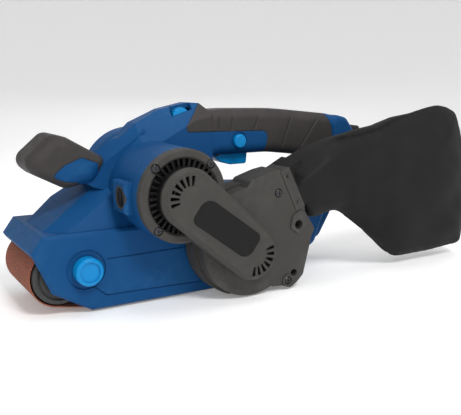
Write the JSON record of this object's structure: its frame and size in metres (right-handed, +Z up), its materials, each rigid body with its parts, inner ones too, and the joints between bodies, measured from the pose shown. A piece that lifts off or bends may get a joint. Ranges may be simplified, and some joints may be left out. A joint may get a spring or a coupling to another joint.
{
  "type": "handheld belt sander",
  "caption": "Handheld belt sander with a front knob, closed main handle, side drive cover, dust fan housing and a fabric dust bag.",
  "frame": {"origin": "middle of the flat sanding face, on the outside of the sanding belt", "axes": "+X to the rear (handle end and dust bag), -Y to the drive side, +Z up from the work"},
  "size_m": [0.4709, 0.1505, 0.167],
  "materials": {
    "blue_plastic": "moulded, fine grain",
    "control_blue": "moulded, satin",
    "dark_plastic": "moulded, fine grain",
    "black_plastic": "moulded",
    "soft_grip": "soft overmould",
    "black_rubber": "moulded",
    "roller_rubber": "ground",
    "cast_metal": "die cast",
    "steel": "bright zinc",
    "bearing_steel": "ground",
    "copper": "enamelled wire",
    "brass": "turned",
    "graphite": "graphite cloth",
    "abrasive": "aluminium oxide grit on cloth",
    "bag_fabric": "woven polyester",
    "board_green": "circuit board"
  },
  "bodies": {
    "root": {"housing_left": "blue_plastic", "housing_right": "blue_plastic", "front_grip": "soft_grip", "handle_grip": "soft_grip", "base_frame": "cast_metal", "sole_plate": "steel", "platen_pad": "graphite", "tension_spring": "steel", "lever_pin": "steel", "motor_stator": "steel", "field_coils": "copper", "brush_holders": "brass", "carbon_brushes": "graphite", "motor_bearings": "bearing_steel", "drive_bearings": "bearing_steel", "bearing_bracket": "cast_metal", "ring_plate": "dark_plastic", "ring_screws": "steel", "vent_ring": "black_plastic", "drive_cover": "dark_plastic", "cover_panel": "black_plastic", "drive_belt": "black_rubber", "volute_rear": "dark_plastic", "volute_front": "dark_plastic", "volute_screws": "steel", "outlet_adaptor": "dark_plastic", "adaptor_pins": "steel", "trigger_pin": "steel", "switch_module": "black_plastic", "dial_pin": "steel", "speed_board": "board_green", "cable_gland": "black_rubber", "brush_caps": "black_plastic", "brush_sleeves": "dark_plastic"},
    "armature": {"motor_shaft": "steel", "armature_core": "steel", "armature_windings": "copper", "commutator": "brass", "motor_fan": "black_plastic", "motor_pulley": "black_plastic"},
    "drive_roller": {"drive_shaft": "steel", "roller_core": "cast_metal", "roller_tyre": "roller_rubber", "driven_pulley": "black_plastic", "dust_fan": "black_plastic"},
    "yoke": {"roller_yoke": "steel"},
    "steer": {"steer_fork": "steel"},
    "front_roller": {"front_roller": "dark_plastic", "roller_bushes": "brass"},
    "lever": {"tension_lever": "control_blue"},
    "tracking": {"tracking_knob": "control_blue", "tracking_screw": "brass"},
    "trigger": {"trigger": "control_blue"},
    "lock": {"lock_button": "control_blue"},
    "dial": {"speed_dial": "control_blue"},
    "bag": {"dust_bag": "bag_fabric", "bag_collar": "black_plastic"},
    "belt": {"sanding_belt": "abrasive"}
  },
  "joints": [
    {"name": "armature_spin", "type": "hinge", "parent": "root", "child": "armature", "pos_m": [0.0025, 0, 0.0955], "axis": [0, 1, 0], "continuous": true},
    {"name": "drive_roller_spin", "type": "hinge", "parent": "root", "child": "drive_roller", "pos_m": [0.064, 0, 0.0425], "axis": [0, 1, 0], "continuous": true},
    {"name": "lever_swing", "type": "hinge", "parent": "root", "child": "lever", "pos_m": [-0.014, 0.042, 0.024], "axis": [0, 1, 0], "range_deg": [0, 50]},
    {"name": "yoke_slide", "type": "slide", "parent": "root", "child": "yoke", "axis": [1, 0, 0], "range_m": [0, 0.006]},
    {"name": "tracking_turn", "type": "hinge", "parent": "root", "child": "tracking", "pos_m": [-0.0688, -0.05, 0.0368], "axis": [0, 1, 0], "range_deg": [-180, 180]},
    {"name": "roller_steer", "type": "hinge", "parent": "yoke", "child": "steer", "pos_m": [-0.0595, 0, 0.0314], "axis": [0, 0, 1], "range_deg": [-1.2, 1.2]},
    {"name": "front_roller_spin", "type": "hinge", "parent": "steer", "child": "front_roller", "pos_m": [-0.088, 0, 0.0314], "axis": [0, 1, 0], "continuous": true},
    {"name": "belt_change", "type": "slide", "parent": "root", "child": "belt", "axis": [0, 1, 0], "range_m": [0, 0.085]},
    {"name": "trigger_squeeze", "type": "hinge", "parent": "root", "child": "trigger", "pos_m": [0.075, 0, 0.1185], "axis": [0, -1, 0], "range_deg": [0, 7], "stiffness_Nm_per_rad": 1.2, "springref_deg": -8.59},
    {"name": "lock_press", "type": "slide", "parent": "root", "child": "lock", "axis": [0, 1, 0], "range_m": [0, 0.003], "stiffness_N_per_m": 600, "springref_m": -0.002},
    {"name": "dial_turn", "type": "hinge", "parent": "root", "child": "dial", "pos_m": [0.0352, 0, 0.1546], "axis": [0, 1, 0], "range_deg": [0, 270]},
    {"name": "bag_pull", "type": "slide", "parent": "root", "child": "bag", "axis": [0.8886, 0, 0.4587], "range_m": [0, 0.06]}
  ],
  "couplings": [
    {"joint": "drive_roller_spin", "follows": "armature_spin", "ratio": 0.5},
    {"joint": "front_roller_spin", "follows": "armature_spin", "ratio": 0.45551},
    {"joint": "lever_swing", "follows": "yoke_slide", "rad_per_m": 145.3},
    {"joint": "roller_steer", "follows": "tracking_turn", "ratio": 0.005556}
  ]
}
